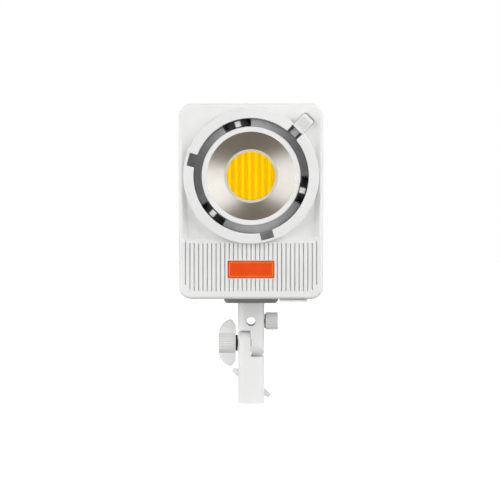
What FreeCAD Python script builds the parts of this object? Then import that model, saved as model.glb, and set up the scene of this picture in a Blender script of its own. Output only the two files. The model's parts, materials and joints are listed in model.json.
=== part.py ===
"""Stand-mounted studio light: a boxy lamp head on a lockable tilt bracket with a stand socket.

Frame: +Z up, the lamp shines along -Y, +X to the right of someone facing the lamp's front.
The origin is the centre of the stand socket's mouth. Everything is in millimetres.
One STEP file is written for each separate piece.
"""

import FreeCAD, Part

import math
import os

V = FreeCAD.Vector

# Lamp head
AXIS_Z = 245.0            # optical axis above the mouth of the stand socket
HEAD_W = 151.0
HEAD_TOP = AXIS_Z + 75.5
HEAD_BOTTOM = AXIS_Z - 128.5
HEAD_CORNER_R = 13.0
FACE_Y = -69.0            # plane of the front cover's border
FRONT_SEAM_Y = -45.0
REAR_SEAM_Y = 84.0
REAR_Y = 105.0
WALL = 2.5
FACE_T = 3.5
SEAM = 0.3                # half of the shadow gap between the shells
EDGE_R = 3.5              # rounding of the head's front and rear edges

# Bayonet mount around the reflector
FLANGE_Y = -75.0
FLANGE_T = 4.0
FLANGE_R = 70.5
LIP_R = 60.0              # opening that an accessory's collar enters
LUG_R = 67.8              # notches and channel that its three lugs use
NOTCH_W = 13.6
NOTCH_ANGLES = (45.0, 165.0, 285.0)
SPRING_ANGLES = (105.0, 225.0, 345.0)
SPRING_HALF = 15.0
SEAT_Y = -66.0
SEAT_T = 3.0
BEZEL_R = 51.6
DISH_R = 47.2             # outside of the dish's rim and of its throat
THROAT_R = 29.3
DISH_WALL = 1.2
MOUTH_Y = -69.0
THROAT_Y = -58.7

# Latch beside the flange
LATCH_ANGLE = 45.0
LATCH_W = 13.8
LATCH_IN_R = 68.1
LATCH_OUT_R = 85.6
LATCH_END_R = 88.0
LATCH_Y = -75.4
LATCH_FLOOR_Y = -66.2

# Emitter and cooling
EMITTER_R = 25.3
EMITTER_Y = -58.3
STRIPE = 3.5
SUBSTRATE_Y = -56.7
CLAMP_W = 78.0
CLAMP_LIP = 2.0           # how far the clamp stands in front of the emitter's plate
SPREADER_Y = -54.7
SINK_Y = -48.7
SINK_W = 100.0
SINK_DEPTH = 75.0
FAN_Y = 72.0
FAN_W = 92.0
FAN_DEPTH = 22.0

# Grooved panel and badge
GROOVES = 31
GROOVE_PITCH = 4.56
GROOVE_W = 1.0
GROOVE_DEPTH = 1.8
GROOVE_TOP = AXIS_Z - 70.3
OUTER_GROOVE_RISE = 3.3   # the outermost two run on up beside the recess
GROOVE_BOTTOM = AXIS_Z - 119.9
GROOVE_CORNER_R = 10.0
RECESS_RIM_HALF_W = 71.7
RECESS_FLOOR_HALF_W = 67.0
RECESS_TOP = AXIS_Z + 67.0
RECESS_LOW = AXIS_Z - 64.0
RECESS_END = AXIS_Z - 69.5
RECESS_DEPTH = 6.0
BADGE_W = 48.3
BADGE_H = 18.2
BADGE_Z = AXIS_Z - 97.4

# Bracket
TILT_Z = 65.0
COLUMN_W = 28.4
COLUMN_D = 26.0
COLUMN_R = 7.0
EAR_R = 13.1
EAR_GAP = 0.3             # ear faces to the middle plane
SHOULDER = 14.4           # tilt axis to the shoulders
FOOT_W = 57.7
FOOT_T = 7.0
FOOT_FRONT = -26.0
FOOT_REAR = 34.0
SOCKET_R = 8.15           # 5/8 inch stand spigot with clearance
SOCKET_DEPTH = 45.0
UMBRELLA_Z = 88.6
UMBRELLA_R = 4.7
BOLT_R = 3.95
RUNNING = 0.1             # radial clearance of turning shafts
STAND_LOCK_Z = 19.3
STAND_WING_TURN = 36.0    # wings of the stand lock, below the horizontal
LOCK_FACE_Y = COLUMN_D / 2 + 4.0
TILT_HANDLE_X = -16.6
WING_TIP = 25.6           # a lock handle's wings, from its axis
KNOB_X = COLUMN_W / 2 + 1.4
SCREW_R = 3.9             # stand lock screw

# Rear controls, as (x, z) centres on the rear cover
DISPLAY_AT = (26.0, 177.0)
DISPLAY_SIZE = (58.0, 30.0)
ENCODER_AT = (-40.0, 177.0)
BUTTONS_AT = ((6.0, 151.0), (26.0, 151.0), (46.0, 151.0))
BUTTON_NAMES = ("button_mode", "button_back", "button_menu")
SWITCH_AT = (-3.0, 134.0)
SWITCH_SIZE = (13.0, 19.0)
ROCKER_Y = REAR_Y - 3.0
INLET_AT = (-40.0, 136.0)
INLET_SIZE = (27.0, 20.0)
USB_AT = (30.0, 134.0)
GRILLE_R = 45.0

DOOR_X = (30.0, 56.0)     # underside door, from its free edge to its hinge
DOOR_Y = (-64.0, -48.0)
DOOR_T = 2.9
DOOR_PIN_Z = HEAD_BOTTOM - 1.8


# ---------------------------------------------------------------- helpers

def box(x0, x1, y0, y1, z0, z1):
    return Part.makeBox(x1 - x0, y1 - y0, z1 - z0, V(x0, y0, z0))


def cyl_x(r, x0, x1, y=0.0, z=TILT_Z):
    return Part.makeCylinder(r, x1 - x0, V(x0, y, z), V(1, 0, 0))


def cyl_y(r, y0, y1, x=0.0, z=AXIS_Z):
    return Part.makeCylinder(r, y1 - y0, V(x, y0, z), V(0, 1, 0))


def cyl_z(r, z0, z1, x=0.0, y=0.0):
    return Part.makeCylinder(r, z1 - z0, V(x, y, z0), V(0, 0, 1))


def ring_y(r_out, r_in, y0, y1, x=0.0, z=AXIS_Z):
    return cyl_y(r_out, y0, y1, x, z).cut(cyl_y(r_in, y0 - 1, y1 + 1, x, z))


def fuse(shapes):
    """One solid from several that touch or overlap."""
    first, rest = shapes[0], list(shapes[1:])
    return first.fuse(rest).removeSplitter() if rest else first


def group(shapes):
    """Separate solids kept side by side in one piece."""
    return Part.makeCompound(list(shapes))


def loop(points):
    """Closed face from straight sides."""
    return Part.Face(Part.makePolygon([V(*p) for p in points] + [V(*points[0])]))


def turn(shape, degrees):
    """Turns a shape about the optical axis, anticlockwise as seen from the front."""
    turned = shape.copy()
    turned.rotate(V(0, 0, AXIS_Z), V(0, 1, 0), -degrees)
    return turned


def revolve(points):
    """Solid of revolution about the optical axis, from (radius, y) points."""
    face = loop([(r, y, AXIS_Z) for r, y in points])
    return face.revolve(V(0, 0, AXIS_Z), V(0, 1, 0), 360)


def rounded_box(x0, x1, y0, y1, z0, z1, r, along):
    """Box whose four edges along one axis are rounded."""
    solid = box(x0, x1, y0, y1, z0, z1)
    direction = {"x": V(1, 0, 0), "y": V(0, 1, 0), "z": V(0, 0, 1)}[along]
    edges = [e for e in solid.Edges if abs(e.tangentAt(0).dot(direction)) > 0.99]
    return solid.makeFillet(r, edges)


def edges_at(solid, axis, value):
    """Edges that lie wholly in the plane where a coordinate has one value."""
    found = []
    for edge in solid.Edges:
        span = edge.BoundBox
        low = getattr(span, axis + "Min")
        high = getattr(span, axis + "Max")
        if abs(low - value) < 0.01 and abs(high - value) < 0.01:
            found.append(edge)
    return found


def head_prism(inset, y0, y1):
    """Prism with the head's rounded outline, drawn in by an inset."""
    half = HEAD_W / 2 - inset
    return rounded_box(-half, half, y0, y1, HEAD_BOTTOM + inset, HEAD_TOP - inset,
                       HEAD_CORNER_R - inset, "y")


def sector_y(r_out, r_in, y0, y1, angle, half):
    """Part of a ring between two angles about the optical axis."""
    reach = r_out * 2
    wedge = loop([(0, y0, AXIS_Z),
                  (reach, y0, AXIS_Z - reach * math.tan(math.radians(half))),
                  (reach, y0, AXIS_Z + reach * math.tan(math.radians(half)))])
    return turn(wedge.extrude(V(0, y1 - y0, 0)).common(ring_y(r_out, r_in, y0, y1)), angle)


def bent_lead(start, corner, end, bend, r):
    """Wire that runs straight, turns one corner on an arc and runs straight again."""
    start, corner, end = V(*start), V(*corner), V(*end)
    back = (start - corner).normalize()
    onward = (end - corner).normalize()
    enter = corner + back * bend
    leave = corner + onward * bend
    centre = enter + onward * bend
    middle = centre + (corner - centre).normalize() * bend
    path = Part.Wire([Part.LineSegment(start, enter).toShape(),
                      Part.Arc(enter, middle, leave).toShape(),
                      Part.LineSegment(leave, end).toShape()])
    section = Part.Wire(Part.makeCircle(r, start, back))
    return path.makePipeShell([section], True, False)


def screw_y(r, y0, y1, x, z):
    """Socket-head screw along Y with its head at y1."""
    head = cyl_y(r * 1.8, y1 - r * 0.8, y1, x, z)
    socket = cyl_y(r * 0.8, y1 - r * 0.6, y1 + 1, x, z)
    return cyl_y(r, y0, y1, x, z).fuse(head).cut(socket)


PIECES = {}


def piece(name, shape):
    PIECES[name] = shape


# ---------------------------------------------------------------- lamp head shells

def recess_solid(grow):
    """Sloping recess round the flange, grown all round.

    Its floor falls away from the top of the flange to its foot and then returns in a short
    slope. The side walls stay as wide all the way down, so they get steeper with the depth.
    """
    rim = RECESS_RIM_HALF_W + grow
    floor = RECESS_FLOOR_HALF_W + grow
    front = FACE_Y - 1
    sections = []
    for z, depth in ((RECESS_TOP + grow, 0.0), (RECESS_LOW - grow * 0.4, RECESS_DEPTH + grow),
                     (RECESS_END - grow, 0.0)):
        deep = FACE_Y + depth
        corners = [(-rim, front), (rim, front), (rim, FACE_Y), (floor, deep), (-floor, deep),
                   (-rim, FACE_Y)]
        corners.append(corners[0])
        sections.append(Part.makePolygon([V(x, y, z) for x, y in corners]))
    return Part.makeLoft(sections, True, True)


def groove_cutters():
    """Upright grooves of the lower panel, left out around the badge."""
    cutters = []
    corner_x = (GROOVES // 2) * GROOVE_PITCH + GROOVE_W / 2 - GROOVE_CORNER_R
    guard_x = BADGE_W / 2 + 1.2
    guard_z = BADGE_H / 2 + 1.2
    for i in range(GROOVES):
        x = (i - GROOVES // 2) * GROOVE_PITCH
        past = max(0.0, abs(x) - corner_x)
        lift = GROOVE_CORNER_R - math.sqrt(max(0.0, GROOVE_CORNER_R ** 2 - past ** 2))
        rise = OUTER_GROOVE_RISE if i in (0, GROOVES - 1) else 0.0
        spans = [(GROOVE_BOTTOM + lift, GROOVE_TOP + rise)]
        if abs(x) < guard_x + GROOVE_W / 2:
            spans = [(GROOVE_BOTTOM, BADGE_Z - guard_z), (BADGE_Z + guard_z, GROOVE_TOP)]
        for low, high in spans:
            cutters.append(box(x - GROOVE_W / 2, x + GROOVE_W / 2,
                               FACE_Y - 1, FACE_Y + GROOVE_DEPTH, low, high))
    return cutters


def latch_channel(side, end, y1):
    """Radial channel that the latch slides in, with rounded outer corners."""
    half = LATCH_W / 2 + side
    channel = box(LIP_R + 6, end, LATCH_Y - 2, y1, AXIS_Z - half, AXIS_Z + half)
    outer = [e for e in channel.Edges
             if abs(e.tangentAt(0).y) > 0.99 and e.BoundBox.XMin > end - 0.01]
    return turn(channel.makeFillet(3.0, outer), LATCH_ANGLE)


def front_cover():
    outer = head_prism(0, FACE_Y, FRONT_SEAM_Y - SEAM)
    outer = outer.makeFillet(EDGE_R, edges_at(outer, "Y", FACE_Y))
    hollow = head_prism(WALL, FACE_Y + FACE_T, FRONT_SEAM_Y)
    backing = recess_solid(3.0).common(head_prism(1.0, FACE_Y + 1, FRONT_SEAM_Y - SEAM))
    cover = outer.cut(hollow).fuse(backing).cut(recess_solid(0))
    boss = cyl_y(FLANGE_R, FLANGE_Y + FLANGE_T, SEAT_Y + SEAT_T + 3)
    latch_base = turn(box(LIP_R, LATCH_END_R + 2.5, LATCH_FLOOR_Y - 2, LATCH_FLOOR_Y + 8,
                          AXIS_Z - LATCH_W / 2 - 3, AXIS_Z + LATCH_W / 2 + 3), LATCH_ANGLE)
    cover = cover.fuse([boss, latch_base])
    cover = cover.cut(cyl_y(LUG_R + 0.1, FLANGE_Y, SEAT_Y + SEAT_T))
    cover = cover.cut(cyl_y(BEZEL_R - 1.6, FLANGE_Y, 0))
    cover = cover.cut(latch_channel(0.3, LATCH_END_R, LATCH_FLOOR_Y))
    windows = [sector_y(LIP_R, BEZEL_R - 2.5, SEAT_Y, SEAT_Y + 12, a, SPRING_HALF + 0.5)
               for a in SPRING_ANGLES]
    spring_tunnel = turn(cyl_x(2.6, LIP_R + 10, LATCH_END_R, LATCH_FLOOR_Y + 3.6, AXIS_Z), LATCH_ANGLE)
    badge_pocket = box(-BADGE_W / 2 - 0.1, BADGE_W / 2 + 0.1, FACE_Y - 1, FACE_Y + 1,
                       BADGE_Z - BADGE_H / 2 - 0.1, BADGE_Z + BADGE_H / 2 + 0.1)
    door_gap = box(DOOR_X[0] - 0.4, DOOR_X[1] + 0.4, DOOR_Y[0] - 0.4, DOOR_Y[1] + 0.4,
                   HEAD_BOTTOM - 1, HEAD_BOTTOM + 1.0)
    cover = cover.cut(windows + [spring_tunnel, badge_pocket, door_gap] + groove_cutters())
    return cover.removeSplitter()


def main_housing():
    """Sleeve between the covers, with an inner lip at both ends, side vents, screw posts and sink blocks."""
    front = FRONT_SEAM_Y + SEAM
    rear = REAR_SEAM_Y - SEAM
    sleeve = head_prism(0, front, rear).cut(head_prism(WALL, front - 1, rear + 1))
    lip = head_prism(WALL + 0.15, front - 5, rear + 5).cut(head_prism(WALL + 1.6, front - 6, rear + 6))
    lip = lip.common(end_bands(front - 5, front + 3, rear - 3, rear + 5))
    root = head_prism(WALL - 0.5, front, rear).cut(head_prism(WALL + 1.6, front - 1, rear + 1))
    root = root.common(end_bands(front, front + 3, rear - 3, rear))
    vents = []
    for i in range(14):
        y = -22.0 + i * 6.0
        for z in (AXIS_Z - 44.0, AXIS_Z + 4.0):
            vents.append(rounded_box(-HEAD_W, HEAD_W, y, y + 2.6, z, z + 40.0, 1.25, "x"))
    holes = [cyl_z(2.2, HEAD_BOTTOM - 1, HEAD_BOTTOM + WALL + 1, x, y) for x, y in BRACKET_SCREWS]
    posts = [cyl_y(6.0, rear - 22, rear + 5, x, z) for x, z in COVER_SCREWS]
    bores = [cyl_y(1.55, rear - 16, rear + 6, x, z) for x, z in COVER_SCREWS]
    wall_x = HEAD_W / 2 - WALL
    blocks = [box(x0, x1, SINK_Y + 5, SINK_Y + 15, AXIS_Z - 18, AXIS_Z + 18)
              for x0, x1 in ((-wall_x - 0.5, -wall_x + 7), (wall_x - 7, wall_x + 0.5))]
    shell = sleeve.fuse([lip, root]).cut(vents + holes)
    room = head_prism(1.0, front, rear).fuse(head_prism(WALL + 0.2, rear - 1, rear + 5))
    inner = group(posts + blocks).common(room)
    return shell.fuse(inner.Solids).cut(bores).removeSplitter()


def end_bands(front0, front1, rear0, rear1):
    """Two slabs across the head, at its front and rear seams."""
    low, high = HEAD_BOTTOM - 1, HEAD_TOP + 1
    return group([box(-HEAD_W, HEAD_W, front0, front1, low, high),
                  box(-HEAD_W, HEAD_W, rear0, rear1, low, high)])


def lens_pocket():
    x, z = DISPLAY_AT
    w, h = DISPLAY_SIZE
    return rounded_box(x - w / 2 - 0.1, x + w / 2 + 0.1, REAR_Y - 1.2, REAR_Y + 1,
                       z - h / 2 - 0.1, z + h / 2 + 0.1, 3.0, "y")


def display_opening():
    x, z = DISPLAY_AT
    w, h = DISPLAY_SIZE
    return box(x - w / 2 + 4, x + w / 2 - 4, 90, REAR_Y + 1, z - h / 2 + 4, z + h / 2 - 4)


def rear_cover():
    start = REAR_SEAM_Y + SEAM
    outer = head_prism(0, start, REAR_Y)
    outer = outer.makeFillet(EDGE_R, edges_at(outer, "Y", REAR_Y))
    hollow = head_prism(WALL, start - 1, REAR_Y - WALL)
    cuts = [cyl_y(GRILLE_R, start, REAR_Y + 1), lens_pocket(), display_opening()]
    cuts.append(cyl_y(5.2, start, REAR_Y + 1, *ENCODER_AT))
    for x, z in BUTTONS_AT:
        cuts.append(rounded_box(x - 6.3, x + 6.3, start, REAR_Y + 1, z - 3.3, z + 3.3, 3.0, "y"))
    x, z = SWITCH_AT
    cuts.append(box(x - SWITCH_SIZE[0] / 2, x + SWITCH_SIZE[0] / 2, start, REAR_Y + 1,
                    z - SWITCH_SIZE[1] / 2, z + SWITCH_SIZE[1] / 2))
    x, z = INLET_AT
    cuts.append(rounded_box(x - INLET_SIZE[0] / 2, x + INLET_SIZE[0] / 2, start, REAR_Y + 1,
                            z - INLET_SIZE[1] / 2, z + INLET_SIZE[1] / 2, 2.0, "y"))
    x, z = USB_AT
    cuts.append(rounded_box(x - 5.2, x + 5.2, start, REAR_Y + 1, z - 2.1, z + 2.1, 2.0, "y"))
    for x, z in COVER_SCREWS:
        cuts.append(cyl_y(1.6, start, REAR_Y + 1, x, z))
        cuts.append(cyl_y(3.2, REAR_Y - 1.5, REAR_Y + 1, x, z))
    inside = REAR_Y - WALL
    stands = [ring_y(GRILLE_R + 3, GRILLE_R - 2, inside - 2, inside)]
    stands += [cyl_y(4.0, FAN_Y + FAN_DEPTH, inside + 0.5, x, AXIS_Z + z) for x, z in FAN_HOLES]
    stands += [cyl_y(2.8, CONTROL_Y, inside + 0.5, x, z) for x, z in CONTROL_HOLES]
    stands += [cyl_y(5.0, start + 4.8, inside + 0.5, x, z).cut(cyl_y(1.6, start, REAR_Y, x, z))
               for x, z in COVER_SCREWS]
    return outer.cut(hollow).cut(cuts).fuse(stands).removeSplitter()


# ---------------------------------------------------------------- bayonet mount

def mount_flange():
    ring = ring_y(FLANGE_R, LIP_R, FLANGE_Y, FLANGE_Y + FLANGE_T)
    rims = edges_at(ring, "Y", FLANGE_Y)
    ring = ring.makeFillet(0.8, rims)
    notches = [turn(box(LIP_R - 2, LUG_R, FLANGE_Y - 1, FLANGE_Y + FLANGE_T + 1,
                        AXIS_Z - NOTCH_W / 2, AXIS_Z + NOTCH_W / 2), a) for a in NOTCH_ANGLES]
    channel = latch_channel(0.3, LATCH_END_R, LATCH_FLOOR_Y)
    return ring.cut(notches + [channel])


def bayonet_seat():
    seat = ring_y(LUG_R - 0.1, BEZEL_R + 0.2, SEAT_Y, SEAT_Y + SEAT_T)
    windows = [sector_y(LIP_R, BEZEL_R - 1, SEAT_Y - 1, SEAT_Y + SEAT_T + 1, a, SPRING_HALF)
               for a in SPRING_ANGLES]
    return seat.cut(windows)


def leaf_spring():
    """Bowed strip that presses an accessory's lug outward against the flange."""
    half, low, crest = 13.0, SEAT_Y + 2.6, SEAT_Y - 2.4
    thick = 0.6
    at = -4.8
    outer = [V(BEZEL_R + 1.0, low, AXIS_Z - half), V(BEZEL_R + 1.0, crest, AXIS_Z + at),
             V(BEZEL_R + 1.0, low, AXIS_Z + half)]
    inner = [p + V(0, thick, 0) for p in outer]
    top = Part.BSplineCurve()
    top.interpolate([outer[0], outer[1], outer[2]])
    under = Part.BSplineCurve()
    under.interpolate([inner[0], inner[1], inner[2]])
    wire = Part.Wire([top.toShape(), Part.makeLine(outer[2], inner[2]),
                      under.toShape(), Part.makeLine(inner[0], outer[0])])
    return Part.Face(wire).extrude(V(LIP_R - BEZEL_R - 2.4, 0, 0))


def reflector_bezel():
    """White ring whose inner lip covers the dish's rim."""
    front, step, back = SEAT_Y - 4.2, SEAT_Y + SEAT_T, SEAT_Y + SEAT_T + 2.5
    lip_r, lip_y = DISH_R - DISH_WALL, MOUTH_Y - 0.2
    ring = revolve([(lip_r, front), (BEZEL_R, front), (BEZEL_R, step), (BEZEL_R - 1.8, step),
                    (BEZEL_R - 1.8, back), (DISH_R + 0.2, back), (DISH_R + 0.2, lip_y), (lip_r, lip_y)])
    rims = sorted(edges_at(ring, "Y", front), key=lambda edge: edge.Curve.Radius)
    return ring.makeFillet(0.5, rims[:1]).makeFillet(1.3, rims[1:])


def reflector():
    """Turned dish, slightly hollow between its rim and its throat."""
    middle_r = (DISH_R + THROAT_R) / 2 + 1.0
    middle_y = (MOUTH_Y + THROAT_Y) / 2

    def arc(grow):
        return Part.Arc(V(DISH_R + grow, MOUTH_Y, AXIS_Z), V(middle_r + grow, middle_y, AXIS_Z),
                        V(THROAT_R + grow, THROAT_Y, AXIS_Z)).toShape()

    inner, outer = arc(-DISH_WALL), arc(0.0)
    throat = Part.makeLine(V(THROAT_R - DISH_WALL, THROAT_Y, AXIS_Z), V(THROAT_R, THROAT_Y, AXIS_Z))
    rim = Part.makeLine(V(DISH_R, MOUTH_Y, AXIS_Z), V(DISH_R - DISH_WALL, MOUTH_Y, AXIS_Z))
    return Part.Face(Part.Wire([inner, throat, outer, rim])).revolve(V(0, 0, AXIS_Z), V(0, 1, 0), 360)


def latch_tongue():
    return turn(box(LIP_R + 0.8, LATCH_IN_R + 8, LATCH_FLOOR_Y - 4.6, LATCH_FLOOR_Y - 1.4,
                    AXIS_Z - 3.7, AXIS_Z + 3.7), LATCH_ANGLE)


def latch_slider():
    half = LATCH_W / 2
    pad = box(LATCH_IN_R, LATCH_OUT_R, LATCH_Y, LATCH_FLOOR_Y - 0.3, AXIS_Z - half, AXIS_Z + half)
    outer = [e for e in pad.Edges
             if abs(e.tangentAt(0).y) > 0.99 and e.BoundBox.XMin > LATCH_OUT_R - 0.01]
    pad = pad.makeFillet(2.6, outer)
    pad = pad.makeFillet(0.7, edges_at(pad, "Y", LATCH_Y))
    ridge_pitch, ridge_w, ridge_depth = 1.9, 0.8, 0.6
    grooves = [box(LATCH_IN_R + 3.2 + i * ridge_pitch, LATCH_IN_R + 3.2 + i * ridge_pitch + ridge_w,
                   LATCH_Y - 1, LATCH_Y + ridge_depth, AXIS_Z - half + 1.6, AXIS_Z + half - 1.6)
               for i in range(6)]
    return turn(pad.cut(grooves), LATCH_ANGLE).cut(latch_tongue())


def latch_spring():
    """Coil that pushes the latch back towards the flange, in its tunnel under the slider."""
    coil_r, wire_r, pitch, length = 1.9, 0.3, 1.5, 12.0
    helix = Part.makeHelix(pitch, length, coil_r)
    section = Part.Wire(Part.makeCircle(wire_r, V(coil_r, 0, 0), V(0, 1, 0)))
    coil = Part.Wire(helix.Edges).makePipeShell([section], True, True)
    coil.rotate(V(0, 0, 0), V(0, 1, 0), 90)
    coil.translate(V(LIP_R + 12.0, LATCH_FLOOR_Y + 3.6, AXIS_Z))
    return turn(coil, LATCH_ANGLE)


# ---------------------------------------------------------------- emitter and cooling

def stripes(first):
    """Every second upright stripe of the round phosphor field."""
    disc = cyl_y(EMITTER_R, EMITTER_Y, SUBSTRATE_Y)
    count = int(2 * EMITTER_R / STRIPE) + 2
    found = []
    for i in range(first, count, 2):
        x = (i - count / 2) * STRIPE
        strip = disc.common(box(x, x + STRIPE, EMITTER_Y - 1, SUBSTRATE_Y + 1,
                                AXIS_Z - 40, AXIS_Z + 40))
        found += strip.Solids
    return group(found)


def square_plate(width, y0, y1, corner=3.0):
    half = width / 2
    return rounded_box(-half, half, y0, y1, AXIS_Z - half, AXIS_Z + half, corner, "y")


def heat_pipe(i, r):
    return cyl_z(r, AXIS_Z - 46, AXIS_Z + 46, -33.0 + 22.0 * i, SINK_Y)


def heat_pipe_grooves():
    return [heat_pipe(i, 3.05) for i in range(4)]


def emitter_clamp():
    plate = square_plate(CLAMP_W, SUBSTRATE_Y - CLAMP_LIP, SPREADER_Y, 5.0)
    seat = box(-32.1, 32.1, SUBSTRATE_Y, SPREADER_Y + 1, AXIS_Z - 32.1, AXIS_Z + 32.1)
    front, back = SUBSTRATE_Y - 4, SPREADER_Y + 1
    holes = [cyl_y(1.7, front, back, x, AXIS_Z + z) for x in (-35, 35) for z in (-35, 35)]
    return plate.cut([seat, cyl_y(THROAT_R + 2.4, front, back)] + holes)


def fin_stack():
    half = SINK_W / 2
    base = box(-half, half, SINK_Y, SINK_Y + 5, AXIS_Z - half, AXIS_Z + half)
    reach = HEAD_W / 2 - WALL - 1.9
    ears = box(-reach, reach, SINK_Y, SINK_Y + 5, AXIS_Z - 18, AXIS_Z + 18)
    fins = []
    count, fin_t = 21, 1.2
    for i in range(count):
        x = -half + i * (SINK_W - fin_t) / (count - 1)
        fins.append(box(x, x + fin_t, SINK_Y + 5, SINK_Y + SINK_DEPTH, AXIS_Z - half, AXIS_Z + half))
    return base.fuse([ears] + fins).cut(heat_pipe_grooves()).removeSplitter()


def fan_frame():
    """Square frame with the motor's base, bearing tube and windings on its rear struts."""
    frame = square_plate(FAN_W, FAN_Y, FAN_Y + FAN_DEPTH, 6.0).cut(cyl_y(43.5, FAN_Y - 1, FAN_Y + 40))
    rear = FAN_Y + FAN_DEPTH
    hub = cyl_y(17, rear - 3, rear)
    bearing = ring_y(3.2, 1.56, rear - 15, rear)
    struts = [turn(box(16, 45, rear - 3, rear, AXIS_Z - 2, AXIS_Z + 2), a) for a in (20, 110, 200, 290)]
    holes = [cyl_y(2.2, FAN_Y - 1, rear + 1, x, AXIS_Z + z) for x, z in FAN_HOLES]
    stator = ring_y(16.0, 3.2, rear - 14, rear - 3)
    return fuse([frame, hub] + struts).cut(cyl_y(3.2, rear - 4, rear + 1)).fuse([bearing, stator]).cut(holes)


def fan_rotor():
    rear = FAN_Y + FAN_DEPTH
    cup = cyl_y(19, FAN_Y + 1, rear - 4).cut(cyl_y(17.6, FAN_Y + 3, rear))
    shaft = cyl_y(1.5, FAN_Y + 2, rear - 1)
    blades = []
    for i in range(9):
        blade = box(18.4, 42.6, -8.6, 8.6, -0.8, 0.8)
        blade.rotate(V(0, 0, 0), V(1, 0, 0), 48)
        blade.translate(V(0, FAN_Y + 9.5, AXIS_Z))
        blades.append(turn(blade.common(ring_y(42.6, 18.4, FAN_Y, rear)), i * 40.0))
    return fuse([cup, shaft] + blades)


def fan_grille():
    y0, y1 = REAR_Y - WALL, REAR_Y - 0.6
    rings = [ring_y(r + 0.9, r - 0.9, y0, y1) for r in (16.0, 22.5, 29.0, 35.5)]
    rim = ring_y(GRILLE_R - 0.2, GRILLE_R - 4.2, y0, y1)
    spokes = [turn(box(8, GRILLE_R - 3, y0, y1, AXIS_Z - 0.9, AXIS_Z + 0.9), 30 * i) for i in range(12)]
    return fuse([cyl_y(10, y0, y1), rim] + rings + spokes)


# ---------------------------------------------------------------- electronics

BOARD_Z = HEAD_BOTTOM + 8.0
BOARD_T = 1.6
TERMINAL_Y = -37.0        # front of the power board's lamp terminal
FAN_HOLES = tuple((x, z) for x in (-41.2, 41.2) for z in (-41.2, 41.2))
CONTROL_Y = 92.1          # rear face of the control board
CONTROL_HOLES = tuple((x, z) for x in (-54.0, 58.0) for z in (150.0, 189.0))
COVER_SCREWS = tuple((x, z) for x in (-67.5, 67.5) for z in (HEAD_BOTTOM + 8.0, HEAD_TOP - 8.0))
BRACKET_SCREWS = tuple((x, y) for x in (-21.0, 21.0) for y in (-18.0, 26.0))


def power_board():
    board = box(-60, 60, -38, 68, BOARD_Z, BOARD_Z + BOARD_T)
    posts = [cyl_z(2.5, HEAD_BOTTOM + WALL, BOARD_Z, x, y) for x in (-56, 56) for y in (-26, 64)]
    terminal = box(-14, 14, TERMINAL_Y, TERMINAL_Y + 13, BOARD_Z + BOARD_T, BOARD_Z + BOARD_T + 8)
    return fuse([board, terminal] + posts)


def capacitors():
    top = BOARD_Z + BOARD_T
    return group([cyl_z(9, top, top + 30, x, -14) for x in (-50, -29, 34)])


def transformer():
    top = BOARD_Z + BOARD_T
    core = box(-20, 20, 10, 24, top, top + 30)
    winding = rounded_box(-15, 15, 3, 31, top + 4, top + 26, 5.0, "z")
    return fuse([core, winding])


def rectifier_sink():
    top = BOARD_Z + BOARD_T
    web = box(-52, -49, 4, 60, top, top + 34)
    fins = [box(-60, -49, 4 + i * 9, 6 + i * 9, top + 3, top + 34) for i in range(7)]
    return fuse([web] + fins)


def internal_leads():
    """Two leads from the power board up to the emitter and three from the inlet to the board."""
    low, high = BOARD_Z + BOARD_T + 4, AXIS_Z - CLAMP_W / 2
    y = (SUBSTRATE_Y - CLAMP_LIP + SPREADER_Y) / 2
    leads = []
    for x in (-8, 8):
        wire = bent_lead((x, y, high), (x, y, low), (x, TERMINAL_Y, low), 6.0, 1.2)
        leads.append(fuse([wire, cyl_z(2.0, high - 5, high, x, y),
                           cyl_y(2.0, TERMINAL_Y - 4, TERMINAL_Y, x, low)]))
    x, z = INLET_AT
    top = BOARD_Z + BOARD_T
    for dx, dz in ((-7, -2), (0, 3), (7, -2)):
        leads.append(bent_lead((x + dx, 83.0, z + dz), (x + dx, 62.0, z + dz),
                               (x + dx, 62.0, top), 5.0, 1.3))
    return group(leads)


def control_board():
    """Board behind the rear controls, with the three buttons' switches soldered to it."""
    board = box(-58, 62, CONTROL_Y - BOARD_T, CONTROL_Y, 146, 193)
    board = board.cut([cyl_y(1.6, CONTROL_Y - 5, CONTROL_Y + 5, x, z) for x, z in CONTROL_HOLES])
    switches = [box(x - 3, x + 3, CONTROL_Y, REAR_Y - 7.6, z - 3, z + 3) for x, z in BUTTONS_AT]
    return fuse([board] + switches)


def display_module():
    x, z = DISPLAY_AT
    w, h = DISPLAY_SIZE
    return box(x - w / 2 + 2, x + w / 2 - 2, CONTROL_Y, REAR_Y - WALL, z - h / 2 + 2, z + h / 2 - 2)


def display_window():
    x, z = DISPLAY_AT
    w, h = DISPLAY_SIZE
    return rounded_box(x - w / 2, x + w / 2, REAR_Y - 1.2, REAR_Y + 0.2,
                       z - h / 2, z + h / 2, 2.9, "y")


def encoder_body():
    x, z = ENCODER_AT
    can = box(x - 6.5, x + 6.5, CONTROL_Y, 98.5, z - 6.5, z + 6.5)
    bush = ring_y(5.0, 3.1, 98.5, REAR_Y + 1.5, x, z)
    return can.cut(cyl_y(3.1, 94.5, 99, x, z)).fuse(bush)


def encoder_shaft():
    x, z = ENCODER_AT
    return cyl_y(3.0, 95.6, REAR_Y + 10.0, x, z)


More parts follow.
